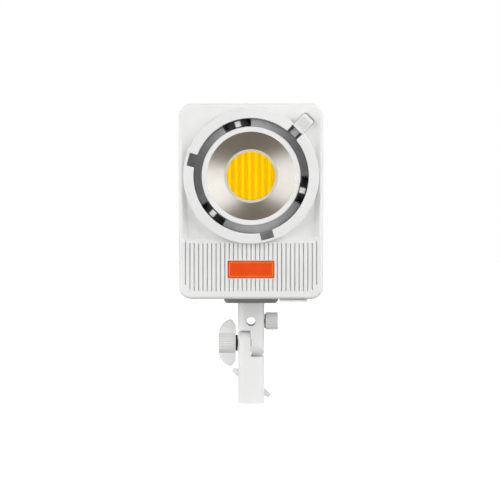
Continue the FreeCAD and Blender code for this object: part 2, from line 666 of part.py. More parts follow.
def encoder_knob():
    x, z = ENCODER_AT
    y0, y1 = REAR_Y + 2.6, REAR_Y + 14.0
    knob = cyl_y(11.5, y0, y1, x, z)
    knob = knob.makeFillet(1.2, edges_at(knob, "Y", y1))
    flutes = []
    for i in range(30):
        a = math.radians(12 * i)
        flutes.append(cyl_y(0.55, y0 - 1, y1 - 1.6, x + 11.6 * math.cos(a), z + 11.6 * math.sin(a)))
    bore = cyl_y(3.05, y0 - 1, REAR_Y + 10.1, x, z)
    return knob.cut(flutes + [bore, cyl_y(6.0, y0 - 1, y0 + 3, x, z)]).fuse(
        ring_y(5.2, 3.05, y0 + 3, y0 + 4, x, z))


def push_button(x, z):
    cap = rounded_box(x - 5.95, x + 5.95, REAR_Y - 5.5, REAR_Y + 1.6, z - 2.95, z + 2.95, 2.7, "y")
    cap = cap.makeFillet(0.6, edges_at(cap, "Y", REAR_Y + 1.6))
    return cap.fuse(box(x - 6.6, x + 6.6, REAR_Y - 5.5, REAR_Y - 4.3, z - 3.6, z + 3.6))


def switch_shell():
    x, z = SWITCH_AT
    w, h = SWITCH_SIZE
    body = box(x - w / 2 + 0.2, x + w / 2 - 0.2, 84, REAR_Y + 0.2, z - h / 2 + 0.2, z + h / 2 - 0.2)
    rim = rounded_box(x - w / 2 - 1.5, x + w / 2 + 1.5, REAR_Y, REAR_Y + 1.4,
                      z - h / 2 - 1.5, z + h / 2 + 1.5, 1.5, "y")
    well = box(x - w / 2 + 1.6, x + w / 2 - 1.6, 93, REAR_Y + 3, z - h / 2 + 1.6, z + h / 2 - 1.6)
    reach = w / 2 - 1.6
    return body.fuse(rim).cut(well).fuse(cyl_x(1.0, x - reach, x + reach, ROCKER_Y, z))


def rocker():
    """Two-sided paddle, stored with its lower half pressed in."""
    x, z = SWITCH_AT
    half_w = SWITCH_SIZE[0] / 2 - 1.9
    half_h = SWITCH_SIZE[1] / 2 - 3.1
    y0, lift = REAR_Y - 4.5, 1.8
    side = loop([(x - half_w, y0, z - half_h + 0.4), (x - half_w, REAR_Y + 0.4, z - half_h),
                 (x - half_w, REAR_Y + 0.2, z), (x - half_w, REAR_Y + 0.4 + lift, z + half_h),
                 (x - half_w, y0, z + half_h - 0.4)])
    paddle = side.extrude(V(2 * half_w, 0, 0))
    return paddle.cut(cyl_x(1.05, x - 20, x + 20, ROCKER_Y, z))


def power_inlet():
    x, z = INLET_AT
    w, h = INLET_SIZE
    body = rounded_box(x - w / 2 + 0.2, x + w / 2 - 0.2, 83, REAR_Y + 0.2,
                       z - h / 2 + 0.2, z + h / 2 - 0.2, 1.9, "y")
    plate = rounded_box(x - w / 2 - 2.0, x + w / 2 + 2.0, REAR_Y, REAR_Y + 1.6,
                        z - h / 2 - 2.0, z + h / 2 + 2.0, 3.0, "y")
    socket = rounded_box(x - 12.0, x + 12.0, REAR_Y - 15, REAR_Y + 3, z - 8.0, z + 8.0, 3.0, "y")
    return body.fuse(plate).cut(socket)


def inlet_pins():
    x, z = INLET_AT
    return group([box(x + dx - 1.0, x + dx + 1.0, REAR_Y - 15, REAR_Y - 3.4, z + dz - 2.0, z + dz + 2.0)
                  for dx, dz in ((-7, -2), (0, 3), (7, -2))])


def usb_port():
    x, z = USB_AT
    shell = rounded_box(x - 4.9, x + 4.9, CONTROL_Y, REAR_Y - 0.4, z - 1.8, z + 1.8, 1.7, "y")
    mouth = rounded_box(x - 4.4, x + 4.4, 96, REAR_Y + 1, z - 1.3, z + 1.3, 1.2, "y")
    tongue = box(x - 3.2, x + 3.2, 96, REAR_Y - 1.6, z - 0.35, z + 0.35)
    board = box(x - 10, x + 10, CONTROL_Y - BOARD_T, CONTROL_Y, z - 8, z + 8)
    return fuse([shell.cut(mouth), tongue, board])


# ---------------------------------------------------------------- bracket and locks

def column(z0, z1):
    return rounded_box(-COLUMN_W / 2, COLUMN_W / 2, -COLUMN_D / 2, COLUMN_D / 2, z0, z1, COLUMN_R, "z")


def ear_disc(side):
    """Round end of an ear, with its outer edge rounded. side is -1 for left, 1 for right."""
    x0, x1 = sorted((side * EAR_GAP, side * COLUMN_W / 2))
    disc = cyl_x(EAR_R, x0, x1)
    return disc.makeFillet(3.0, edges_at(disc, "X", side * COLUMN_W / 2))


def ear_side(side, z0, z1):
    """Half of the column, on one side of the middle plane."""
    x0, x1 = sorted((side * EAR_GAP, side * COLUMN_W))
    return column(z0, z1).common(box(x0, x1, -COLUMN_D, COLUMN_D, z0, z1))


def upper_bracket():
    foot = rounded_box(-FOOT_W / 2, FOOT_W / 2, FOOT_FRONT, FOOT_REAR,
                       HEAD_BOTTOM - FOOT_T, HEAD_BOTTOM, 5.0, "z")
    low = HEAD_BOTTOM - FOOT_T
    chamfer = 2.7
    for side in (-1, 1):
        wedge = loop([(side * FOOT_W / 2, FOOT_FRONT - 1, low - 0.01),
                      (side * (FOOT_W / 2 - chamfer), FOOT_FRONT - 1, low - 0.01),
                      (side * FOOT_W / 2, FOOT_FRONT - 1, low + chamfer)])
        foot = foot.cut(wedge.extrude(V(0, FOOT_REAR - FOOT_FRONT + 2, 0)))
    neck = column(TILT_Z + SHOULDER, low + 1)
    ear = fuse([ear_side(1, TILT_Z, TILT_Z + SHOULDER + 1), ear_disc(1).common(column(0, 200))])
    solid = fuse([foot, neck, ear])
    cuts = [cyl_y(UMBRELLA_R, -COLUMN_D, COLUMN_D, 0, UMBRELLA_Z),
            cyl_x(5.0, 2, COLUMN_W, 0, UMBRELLA_Z),
            cyl_x(BOLT_R + 0.05, -COLUMN_W, COLUMN_W),
            hex_x(6.7, COLUMN_W / 2 - 6.2, COLUMN_W)]
    for x, y in BRACKET_SCREWS:
        cuts.append(cyl_z(2.2, low - 1, HEAD_BOTTOM + 1, x, y))
        cuts.append(cyl_z(4.0, low - 1, low + 4.0, x, y))
    return solid.cut(cuts)


def hex_x(across_half, x0, x1):
    """Six-sided bar along the tilt axis."""
    reach = across_half / math.cos(math.radians(30))
    face = loop([(x0, reach * math.cos(math.radians(60 * i)),
                  TILT_Z + reach * math.sin(math.radians(60 * i))) for i in range(6)])
    return face.extrude(V(x1 - x0, 0, 0))


def tilt_bolt():
    head = hex_x(6.5, COLUMN_W / 2 - 6.1, COLUMN_W / 2 - 0.6)
    return head.fuse(cyl_x(BOLT_R, TILT_HANDLE_X - 11.4, COLUMN_W / 2 - 5))


def bracket_screws():
    low = HEAD_BOTTOM - FOOT_T
    found = []
    for x, y in BRACKET_SCREWS:
        shank = cyl_z(2.1, low + 0.5, HEAD_BOTTOM + WALL + 3, x, y)
        head = cyl_z(3.8, low + 0.2, low + 3.9, x, y)
        nut = cyl_z(4.2, HEAD_BOTTOM + WALL + 0.1, HEAD_BOTTOM + WALL + 3, x, y)
        socket = cyl_z(1.8, low - 1, low + 2.2, x, y)
        found.append(fuse([shank, head, nut]).cut(socket))
    return group(found)


def receiver():
    body = column(0, TILT_Z - SHOULDER)
    ear = fuse([ear_side(-1, TILT_Z - SHOULDER - 1, TILT_Z), ear_disc(-1).common(column(0, 200))])
    boss = cyl_y(9.5, 0, LOCK_FACE_Y, 0, STAND_LOCK_Z)
    solid = fuse([body, ear, boss])
    return solid.cut([cyl_z(SOCKET_R, -1, SOCKET_DEPTH),
                      cyl_x(BOLT_R + RUNNING, -COLUMN_W, COLUMN_W),
                      cyl_y(6.0, 0, LOCK_FACE_Y + 1, 0, STAND_LOCK_Z)])


def stand_lock_insert():
    """Threaded brass insert of the stand lock, flush with the socket's wall."""
    insert = ring_y(6.0, SCREW_R + RUNNING, 0, LOCK_FACE_Y, 0, STAND_LOCK_Z)
    return insert.cut(cyl_z(SOCKET_R + 0.3, -1, SOCKET_DEPTH))


def friction_disc():
    return cyl_x(10.0, -EAR_GAP, 0).cut(cyl_x(BOLT_R + RUNNING, -5, 5))


def wing_outline():
    """Side view of the wing handle, in its own X (along the axis) and Z (along the wings)."""
    thick, tip_x, tip_z, hub = 18.5, 5.4, WING_TIP, 9.0

    def half(sign):
        inner = Part.Arc(V(0, 0, sign * hub), V(1.3, 0, sign * 21.5), V(tip_x, 0, sign * tip_z))
        outer = Part.Arc(V(tip_x, 0, sign * tip_z), V(15.1, 0, sign * 19.2), V(thick, 0, sign * hub))
        return inner.toShape(), outer.toShape()

    up, down = half(1), half(-1)
    front = Part.makeLine(V(thick, 0, hub), V(thick, 0, -hub))
    back = Part.makeLine(V(0, 0, -hub), V(0, 0, hub))
    return Part.Face(Part.Wire([back, up[0], up[1], front, down[1], down[0]]))


def wing_handle(bore_r):
    """Two-winged clamping handle along +X from 0, wings up and down, ribbed round its hub."""
    side = wing_outline()
    side.translate(V(0, -20, 0))
    profile = side.extrude(V(0, 40, 0))
    tips = [e for e in profile.Edges if abs(abs(e.CenterOfMass.z) - WING_TIP) < 0.01]
    profile = profile.makeFillet(2.2, tips)
    hub = Part.makeCylinder(11.0, 18.5, V(0, 0, 0), V(1, 0, 0))
    tip_half, root_half = 2.7, 4.6
    tip = WING_TIP - tip_half
    blades = loop([(0, -root_half, 0), (0, -tip_half, tip), (0, tip_half, tip), (0, root_half, 0),
                   (0, tip_half, -tip), (0, -tip_half, -tip)]).extrude(V(18.5, 0, 0))
    ends = [Part.makeCylinder(tip_half, 18.5, V(0, 0, z), V(1, 0, 0)) for z in (-tip, tip)]
    solid = fuse([hub, blades] + ends).common(profile)
    flutes = []
    for i in range(36):
        angle = math.radians(10 * i)
        if abs(math.sin(angle)) > 0.86:
            continue
        flutes.append(Part.makeCylinder(0.65, 40, V(-10, 11.0 * math.cos(angle), 11.0 * math.sin(angle)),
                                        V(1, 0, 0)))
    return solid.cut(flutes).cut(Part.makeCylinder(bore_r, 13.0, V(-1, 0, 0), V(1, 0, 0)))


def tilt_lock_handle():
    handle = wing_handle(BOLT_R + RUNNING)
    handle.rotate(V(0, 0, 0), V(0, 0, 1), 180)
    handle.translate(V(TILT_HANDLE_X, 0, TILT_Z))
    return handle


def tilt_lock_washer():
    return cyl_x(8.6, TILT_HANDLE_X + 0.1, -COLUMN_W / 2 - 0.3).cut(
        cyl_x(BOLT_R + RUNNING, TILT_HANDLE_X - 1, 0))


def stand_lock_handle():
    handle = wing_handle(SCREW_R)
    handle.rotate(V(0, 0, 0), V(0, 0, 1), 90)
    handle.rotate(V(0, 0, 0), V(0, 1, 0), -(90.0 - STAND_WING_TURN))
    handle.translate(V(0, LOCK_FACE_Y + 2.4, STAND_LOCK_Z))
    return handle


def stand_lock_screw():
    tip = cyl_y(3.0, SOCKET_R + 0.1, 12, 0, STAND_LOCK_Z)
    return tip.fuse(cyl_y(SCREW_R, 10, LOCK_FACE_Y + 14, 0, STAND_LOCK_Z))


def stand_lock_washer():
    return ring_y(8.2, SCREW_R + RUNNING, LOCK_FACE_Y + 0.3, LOCK_FACE_Y + 2.2, 0, STAND_LOCK_Z)


def umbrella_lock_insert():
    insert = cyl_x(5.0, UMBRELLA_R + 0.6, COLUMN_W / 2, 0, UMBRELLA_Z)
    return insert.cut(cyl_x(2.5 + RUNNING, 0, COLUMN_W, 0, UMBRELLA_Z))


def umbrella_lock_screw():
    return cyl_x(2.5, UMBRELLA_R + 0.3, KNOB_X + 8, 0, UMBRELLA_Z)


def umbrella_lock_collar():
    return cyl_x(7.6, COLUMN_W / 2 + 0.3, KNOB_X - 0.1, 0, UMBRELLA_Z).cut(
        cyl_x(2.5 + RUNNING, 0, 40, 0, UMBRELLA_Z))


def umbrella_lock_knob():
    x0, x1 = KNOB_X, KNOB_X + 13.4
    knob = cyl_x(9.3, x0, x1, 0, UMBRELLA_Z)
    knob = knob.makeFillet(1.2, edges_at(knob, "X", x0) + edges_at(knob, "X", x1))
    flutes = []
    for i in range(30):
        angle = math.radians(12 * i)
        flutes.append(Part.makeCylinder(0.6, 40, V(x0 - 1, 9.3 * math.cos(angle),
                                                   UMBRELLA_Z + 9.3 * math.sin(angle)), V(1, 0, 0)))
    return knob.cut(flutes).cut(cyl_x(2.5, x0 - 1, x0 + 8, 0, UMBRELLA_Z))


# ---------------------------------------------------------------- underside door

def port_door():
    plate = box(DOOR_X[0], DOOR_X[1], DOOR_Y[0], DOOR_Y[1], HEAD_BOTTOM - DOOR_T, HEAD_BOTTOM - 0.6)
    knuckle = Part.makeCylinder(1.4, DOOR_Y[1] - DOOR_Y[0] - 8, V(DOOR_X[1] + 1.6, DOOR_Y[0] + 4, DOOR_PIN_Z),
                                V(0, 1, 0))
    solid = fuse([plate, knuckle, box(DOOR_X[1] - 1, DOOR_X[1] + 1.6, DOOR_Y[0] + 4, DOOR_Y[1] - 4,
                                      DOOR_PIN_Z - 0.9, DOOR_PIN_Z + 0.5)])
    return solid.cut(Part.makeCylinder(0.85, 60, V(DOOR_X[1] + 1.6, DOOR_Y[0] - 5, DOOR_PIN_Z), V(0, 1, 0)))


def door_hinge():
    """Two lugs and a pin that the door swings on, fixed under the front cover."""
    x = DOOR_X[1] + 1.6
    lugs = []
    for y0 in (DOOR_Y[0], DOOR_Y[1] - 3.6):
        lugs.append(box(x - 1.4, x + 1.4, y0, y0 + 3.6, DOOR_PIN_Z, HEAD_BOTTOM))
        lugs.append(Part.makeCylinder(1.4, 3.6, V(x, y0, DOOR_PIN_Z), V(0, 1, 0)))
    pin = Part.makeCylinder(0.8, DOOR_Y[1] - DOOR_Y[0], V(x, DOOR_Y[0], DOOR_PIN_Z), V(0, 1, 0))
    return fuse(lugs + [pin])


# ---------------------------------------------------------------- assembly

def build_head():
    piece("front_cover", front_cover())
    piece("main_housing", main_housing())
    piece("rear_cover", rear_cover())
    piece("mount_flange", mount_flange())
    piece("bayonet_seat", bayonet_seat())
    piece("leaf_springs", group([turn(leaf_spring(), a) for a in SPRING_ANGLES]))
    piece("reflector_bezel", reflector_bezel())
    piece("reflector", reflector())
    piece("latch_spring", latch_spring())
    piece("badge", badge())
    piece("cover_screws", group([screw_y(1.5, REAR_SEAM_Y - 14, REAR_Y - 0.2, x, z) for x, z in COVER_SCREWS]))
    piece("door_hinge", door_hinge())


def badge():
    plate = box(-BADGE_W / 2, BADGE_W / 2, FACE_Y - 0.5, FACE_Y + 1.0,
                BADGE_Z - BADGE_H / 2, BADGE_Z + BADGE_H / 2)
    upright = [e for e in plate.Edges if abs(e.tangentAt(0).y) > 0.99]
    return plate.makeFillet(1.0, upright)


def build_light_engine():
    piece("phosphor_warm", stripes(0))
    piece("phosphor_cool", stripes(1))
    piece("emitter_dam", ring_y(THROAT_R - 0.1, EMITTER_R + 0.02, EMITTER_Y - 0.2, SUBSTRATE_Y))
    piece("emitter_substrate", square_plate(64, SUBSTRATE_Y, SPREADER_Y, 2.0))
    piece("emitter_clamp", emitter_clamp())
    piece("heat_spreader", square_plate(86, SPREADER_Y, SINK_Y).cut(heat_pipe_grooves()))
    piece("heat_pipes", group([heat_pipe(i, 3.0) for i in range(4)]))
    piece("fin_stack", fin_stack())
    piece("fan_frame", fan_frame())
    piece("fan_grille", fan_grille())


def build_electronics():
    piece("power_board", power_board())
    piece("capacitors", capacitors())
    piece("transformer", transformer())
    piece("rectifier_sink", rectifier_sink())
    piece("internal_leads", internal_leads())
    piece("control_board", control_board())
    piece("display_module", display_module())
    piece("display_window", display_window())
    piece("encoder_body", encoder_body())
    piece("switch_shell", switch_shell())
    piece("power_inlet", power_inlet())
    piece("inlet_pins", inlet_pins())
    piece("usb_port", usb_port())


def build_moving_controls():
    piece("latch_slider", latch_slider())
    piece("latch_tongue", latch_tongue())
    piece("fan_rotor", fan_rotor())
    piece("encoder_shaft", encoder_shaft())
    piece("encoder_knob", encoder_knob())
    for name, (x, z) in zip(BUTTON_NAMES, BUTTONS_AT):
        piece(name, push_button(x, z))
    piece("rocker", rocker())
    piece("port_door", port_door())


def build_bracket():
    piece("upper_bracket", upper_bracket())
    piece("bracket_screws", bracket_screws())
    piece("tilt_bolt", tilt_bolt())
    piece("umbrella_lock_insert", umbrella_lock_insert())
    piece("receiver", receiver())
    piece("stand_lock_insert", stand_lock_insert())
    piece("friction_disc", friction_disc())
    piece("tilt_lock_washer", tilt_lock_washer())
    piece("tilt_lock_handle", tilt_lock_handle())
    piece("stand_lock_washer", stand_lock_washer())
    piece("stand_lock_screw", stand_lock_screw())
    piece("stand_lock_handle", stand_lock_handle())
    piece("umbrella_lock_collar", umbrella_lock_collar())
    piece("umbrella_lock_screw", umbrella_lock_screw())
    piece("umbrella_lock_knob", umbrella_lock_knob())


build_head()
build_light_engine()
build_electronics()
build_moving_controls()
build_bracket()

os.makedirs("parts", exist_ok=True)
for name, shape in PIECES.items():
    valid = shape.isValid() and all(s.isValid() for s in shape.Solids)
    shape.exportStep("parts/" + name + ".step")
    print(name, "solids", len(shape.Solids), "valid", valid, "volume", round(shape.Volume))
print("pieces", len(PIECES))
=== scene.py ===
"""Looks of the stand-mounted studio light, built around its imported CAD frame. Metres, +Z up."""
import json
import math
import random

import bmesh
import bpy
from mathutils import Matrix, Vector


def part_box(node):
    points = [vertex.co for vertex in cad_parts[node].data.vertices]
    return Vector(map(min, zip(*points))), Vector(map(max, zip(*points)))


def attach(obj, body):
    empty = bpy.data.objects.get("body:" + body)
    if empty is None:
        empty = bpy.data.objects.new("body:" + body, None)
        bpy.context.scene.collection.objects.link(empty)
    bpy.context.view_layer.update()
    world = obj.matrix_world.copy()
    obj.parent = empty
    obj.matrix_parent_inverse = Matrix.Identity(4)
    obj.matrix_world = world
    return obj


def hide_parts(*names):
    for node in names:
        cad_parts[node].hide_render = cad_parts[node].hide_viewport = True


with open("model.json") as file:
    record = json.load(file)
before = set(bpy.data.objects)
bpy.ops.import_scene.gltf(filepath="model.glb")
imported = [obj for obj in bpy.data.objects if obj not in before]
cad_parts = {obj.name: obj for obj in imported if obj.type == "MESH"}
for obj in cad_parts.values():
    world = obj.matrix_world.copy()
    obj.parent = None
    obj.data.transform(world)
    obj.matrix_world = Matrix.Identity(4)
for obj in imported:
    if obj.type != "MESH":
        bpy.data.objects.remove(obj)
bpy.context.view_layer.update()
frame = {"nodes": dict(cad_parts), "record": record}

MM = 0.001


def middle(node):
    """Centre of a CAD node's box."""
    low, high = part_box(node)
    return (low + high) / 2


def size(node):
    """Extent of a CAD node's box."""
    low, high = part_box(node)
    return high - low


AXIS = middle("bayonet_seat")                             # a point on the lamp's optical axis
FLANGE_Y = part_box("mount_flange")[0].y                    # foremost plane of the mounting flange
FACE_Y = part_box("front_cover")[0].y                       # foremost plane of the front cover
FOOT_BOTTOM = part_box("bracket_screws")[0].z - 0.2 * MM    # underside of the bracket's plate
STRIPE_PITCH = 3.5 * MM                                   # from one gel stripe to the next
STRIPE_COUNT = int(size("phosphor_warm").z / STRIPE_PITCH) + 2


# ---------------------------------------------------------------- node graphs

class Graph:
    """A material's node graph, written with short calls."""

    def __init__(self, name):
        self.material = bpy.data.materials.new(name)
        self.material.use_nodes = True
        self.tree = self.material.node_tree
        self.shader = self.tree.nodes["Principled BSDF"]
        self.place = self.node("ShaderNodeTexCoord").outputs["Object"]

    def node(self, kind, **settings):
        """A new node of a kind, with its settings."""
        made = self.tree.nodes.new(kind)
        for key, value in settings.items():
            setattr(made, key, value)
        return made

    def feed(self, socket, value):
        """Links an output to a socket, or gives the socket a plain value."""
        if isinstance(value, bpy.types.NodeSocket):
            self.tree.links.new(value, socket)
        else:
            socket.default_value = value

    def set(self, **values):
        """Sets the shader's sockets; underscores in a name stand for spaces."""
        for key, value in values.items():
            self.feed(self.shader.inputs[key.replace("_", " ")], value)

    def math(self, operation, first, second=0.0):
        """A sum, product or other operation on one or two values."""
        made = self.node("ShaderNodeMath", operation=operation)
        self.feed(made.inputs[0], first)
        self.feed(made.inputs[1], second)
        return made.outputs[0]

    def stretch(self, scale, vector=None):
        """The object's coordinates, or another vector, multiplied axis by axis."""
        made = self.node("ShaderNodeVectorMath", operation="MULTIPLY")
        self.feed(made.inputs[0], vector or self.place)
        made.inputs[1].default_value = scale
        return made.outputs[0]

    def noise(self, grain, detail=3.0, vector=None, rough=0.55):
        """Noise whose blobs are about as large as grain, in metres."""
        made = self.node("ShaderNodeTexNoise")
        self.feed(made.inputs["Vector"], vector or self.place)
        made.inputs["Scale"].default_value = 1.0 / grain
        made.inputs["Detail"].default_value = detail
        made.inputs["Roughness"].default_value = rough
        return made.outputs["Fac"]

    def cells(self, grain, feature="F1"):
        """Distances in a pattern of cells about as large as grain, in metres."""
        made = self.node("ShaderNodeTexVoronoi", feature=feature)
        self.feed(made.inputs["Vector"], self.place)
        made.inputs["Scale"].default_value = 1.0 / grain
        return made.outputs["Distance"]

    def range(self, value, low, high, to_low=0.0, to_high=1.0):
        """A value carried from one range to another and held inside it."""
        made = self.node("ShaderNodeMapRange", clamp=True)
        self.feed(made.inputs["Value"], value)
        for key, number in (("From Min", low), ("From Max", high),
                            ("To Min", to_low), ("To Max", to_high)):
            made.inputs[key].default_value = number
        return made.outputs["Result"]

    def blend(self, share, first, second):
        """Colour between two, by a share."""
        made = self.node("ShaderNodeMix", data_type="RGBA")
        self.feed(made.inputs["Factor"], share)
        self.feed(made.inputs[6], first)
        self.feed(made.inputs[7], second)
        return made.outputs[2]

    def axis(self, name):
        """The object's X, Y or Z coordinate."""
        made = self.node("ShaderNodeSeparateXYZ")
        self.feed(made.inputs[0], self.place)
        return made.outputs[name]

    def bevel(self, radius):
        """Normals rounded over an edge."""
        made = self.node("ShaderNodeBevel", samples=6)
        made.inputs["Radius"].default_value = radius
        return made.outputs["Normal"]

    def edges(self, radius):
        """1 along sharp outer edges, 0 elsewhere."""
        made = self.node("ShaderNodeVectorMath", operation="DOT_PRODUCT")
        self.feed(made.inputs[0], self.bevel(radius))
        self.feed(made.inputs[1], self.node("ShaderNodeNewGeometry").outputs["Normal"])
        return self.range(made.outputs["Value"], 0.985, 0.80)

    def bump(self, height, depth, normal=None):
        """Normals of a surface whose relief is depth metres deep."""
        made = self.node("ShaderNodeBump")
        made.inputs["Strength"].default_value = 1.0
        made.inputs["Distance"].default_value = depth
        self.feed(made.inputs["Height"], height)
        if normal is not None:
            self.feed(made.inputs["Normal"], normal)
        return made.outputs["Normal"]

    def crevices(self, reach):
        """0 deep in narrow gaps, 1 on open surfaces."""
        made = self.node("ShaderNodeAmbientOcclusion", samples=4, only_local=False)
        made.inputs["Distance"].default_value = reach
        return made.outputs["AO"]


def rgb(red, green, blue):
    """Opaque colour."""
    return (red, green, blue, 1.0)


def shade(colour, factor):
    """A colour made lighter or darker."""
    return rgb(*(min(1.0, c * factor) for c in colour[:3]))


# ---------------------------------------------------------------- materials

WHITE = rgb(0.815, 0.815, 0.81)            # the covers' plastic; the coated metal is close to it
PAINTED_EMITTER_GLOW = rgb(1.0, 0.50, 0.02)        # painted glow on the dish, standing for the gel's light thrown on it


def moulded(name, colour, roughness, grain=0.5 * MM, depth=0.012 * MM, edge=0.35 * MM, wear=0.06,
            drift=0.03, coat=0.0, flute_shade=0.0):
    """Moulded plastic or paint: fine texture, slow drift of tone, rubbed edges and painted shade that
    darkens its crevices, with more of it in narrow flutes."""
    g = Graph(name)
    slow = g.noise(38 * MM, 2.0)
    tone = g.blend(g.range(slow, 0.3, 0.7), shade(colour, 1.0 - drift), shade(colour, 1.0 + drift))
    specks = g.range(g.noise(1.1 * MM, 4.0), 0.66, 0.78)
    tone = g.blend(g.math("MULTIPLY", specks, 0.16), tone, shade(colour, 0.86))
    rubbed = g.math("MULTIPLY", g.edges(edge), g.range(g.noise(5 * MM, 4.0), 0.35, 0.65, 0.3, 1.0))
    tone = g.blend(g.math("MULTIPLY", rubbed, wear), tone, shade(colour, 1.25))
    # painted shade: darker in crevices and recesses
    crevice_shade = g.range(g.crevices(4 * MM), 0.1, 0.7, 0.16, 0.0)
    tone = g.blend(crevice_shade, tone, shade(colour, 0.62))
    # painted shade: darker still in narrow flutes
    if flute_shade:
        tone = g.blend(g.range(g.crevices(1.0 * MM), 0.45, 0.95, flute_shade, 0.0), tone, shade(colour, 0.3))
    fine = g.noise(grain, 3.0, rough=0.65)
    g.set(Base_Color=tone,
          Roughness=g.range(g.noise(9 * MM, 4.0), 0.3, 0.7, roughness - 0.05, roughness + 0.06),
          Normal=g.bump(fine, depth, g.bevel(edge)),
          Coat_Weight=coat, Coat_Roughness=0.15)
    return g.material


def powder_coat(name, colour, roughness, painted_shade_above=None):
    """Powder coat: a soft orange peel under a fine grain, painted shade darkening its crevices, and
    painted shade making it dull and grey above a height, where the head shades it."""
    g = Graph(name)
    slow = g.noise(45 * MM, 2.0)
    tone = g.blend(g.range(slow, 0.3, 0.7), shade(colour, 0.975), shade(colour, 1.025))
    rubbed = g.math("MULTIPLY", g.edges(0.4 * MM), g.range(g.noise(4 * MM, 4.0), 0.45, 0.7))
    tone = g.blend(g.math("MULTIPLY", rubbed, 0.25), tone, shade(colour, 0.86))
    # painted shade: darker in crevices and recesses
    crevice_shade = g.range(g.crevices(4 * MM), 0.1, 0.7, 0.18, 0.0)
    tone = g.blend(crevice_shade, tone, shade(colour, 0.6))
    # painted shade under the head: the bracket's plate above its underside is made dark grey
    if painted_shade_above is not None:
        fade, share, shaded_tone = 0.2 * MM, 0.81, 0.15
        head_shade_mask = g.range(g.axis("Z"), painted_shade_above - fade, painted_shade_above + fade, 0.0, share)
        tone = g.blend(head_shade_mask, tone, shade(colour, shaded_tone))
    peel = g.math("ADD", g.noise(1.6 * MM, 2.0), g.math("MULTIPLY", g.noise(0.3 * MM, 2.0), 0.25))
    g.set(Base_Color=tone,
          Roughness=g.range(g.noise(6 * MM, 3.0), 0.3, 0.7, roughness - 0.04, roughness + 0.06),
          Normal=g.bump(peel, 0.03 * MM, g.bevel(0.4 * MM)),
          Coat_Weight=0.12, Coat_Roughness=0.3)
    return g.material


def metal(name, colour, roughness, brush=(1.0, 1.0, 1.0), anisotropy=0.0, edge=0.2 * MM, tarnish=0.25):
    """Bare or plated metal. brush stretches its fine scratches along an axis."""
    g = Graph(name)
    scratches = g.noise(0.25 * MM, 3.0, g.stretch(brush))
    stain = g.range(g.noise(14 * MM, 5.0), 0.42, 0.75)
    tone = g.blend(g.math("MULTIPLY", stain, tarnish), colour, shade(colour, 0.6))
    tone = g.blend(g.math("MULTIPLY", g.edges(edge), 0.5), tone, shade(colour, 1.3))
    g.set(Base_Color=tone, Metallic=1.0, Anisotropic=anisotropy,
          Roughness=g.range(scratches, 0.3, 0.7, roughness - 0.07, roughness + 0.08),
          Normal=g.bump(scratches, 0.004 * MM, g.bevel(edge)))
    return g.material


def turned(name, colour, roughness, anisotropy, pitch, painted_glow=0.0):
    """Metal with concentric marks round the optical axis, which stretch its highlights. Its last argument
    is a painted glow, standing for the emitter's light that the metal catches."""
    g = Graph(name)
    offset = g.node("ShaderNodeVectorMath", operation="SUBTRACT")
    g.feed(offset.inputs[0], g.place)
    offset.inputs[1].default_value = (AXIS.x, 0.0, AXIS.z)
    flat = g.stretch((1.0, 0.0, 1.0), offset.outputs[0])
    radius = g.node("ShaderNodeVectorMath", operation="LENGTH")
    g.feed(radius.inputs[0], flat)
    run = g.node("ShaderNodeCombineXYZ")
    g.feed(run.inputs["X"], g.math("ADD", radius.outputs["Value"], g.axis("Y")))
    marks = g.noise(pitch, 3.0, run.outputs[0])
    haze = g.noise(8 * MM, 4.0)
    tone = g.blend(g.range(haze, 0.35, 0.7), colour, shade(colour, 0.94))
    tangent = g.node("ShaderNodeTangent", direction_type="RADIAL", axis="Y")
    g.set(Base_Color=tone, Metallic=1.0, Anisotropic=anisotropy,
          # painted glow: emission standing for the emitter's light caught on the metal
          Emission_Color=PAINTED_EMITTER_GLOW, Emission_Strength=painted_glow,
          Roughness=g.range(marks, 0.3, 0.7, roughness - 0.04, roughness + 0.05),
          Normal=g.bump(marks, 0.003 * MM), Tangent=tangent.outputs[0])
    return g.material


def leaf_steel():
    """Strip coloured black for a painted dark reflection, with a painted highlight on its crest, where
    accessories also rub it bright.
    """
    g = Graph("leaf_steel")
    crest_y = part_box("leaf_springs")[0].y
    dark_depth, highlight_depth = 0.42 * MM, 0.12 * MM
    # painted highlight on the crest, partly wear: bright within a band behind the crest
    front = g.range(g.axis("Y"), crest_y + dark_depth, crest_y + highlight_depth)
    wear_and_highlight = g.math("MULTIPLY", front, g.range(g.noise(1.2 * MM, 4.0), 0.2, 0.45, 0.6, 1.0))
    # painted dark reflection: the strip's black
    black = g.blend(g.noise(3 * MM, 4.0), rgb(0.004, 0.004, 0.005), rgb(0.012, 0.012, 0.013))
    g.set(Base_Color=g.blend(wear_and_highlight, black, rgb(0.88, 0.88, 0.88)), Metallic=0.25,
          Roughness=g.range(wear_and_highlight, 0.0, 1.0, 0.42, 0.30), Specular_IOR_Level=0.3,
          Normal=g.bump(g.noise(0.3 * MM, 3.0, g.stretch((1.0, 1.0, 0.2))), 0.004 * MM,
                        g.bevel(0.15 * MM)))
    return g.material


def phosphor(name, colour, dark):
    """Silicone gel loaded with phosphor powder: mottled, slightly glossy, with a little painted glow that
    brightens it.
    """
    g = Graph(name)
    mottle = g.noise(2.4 * MM, 3.0, g.stretch((1.0, 1.0, 0.3)))
    tone = g.blend(g.range(mottle, 0.3, 0.72), colour, dark)
    powder = g.range(g.noise(0.25 * MM, 2.0), 0.55, 0.75)
    tone = g.blend(g.math("MULTIPLY", powder, 0.15), tone, shade(colour, 1.08))
    # painted glow: a weak emission of its own tone that brightens the gel
    g.set(Base_Color=tone, Emission_Color=tone, Emission_Strength=0.25, Roughness=0.55,
          Specular_IOR_Level=0.04, Normal=g.bump(g.noise(0.6 * MM, 3.0), 0.02 * MM))
    return g.material


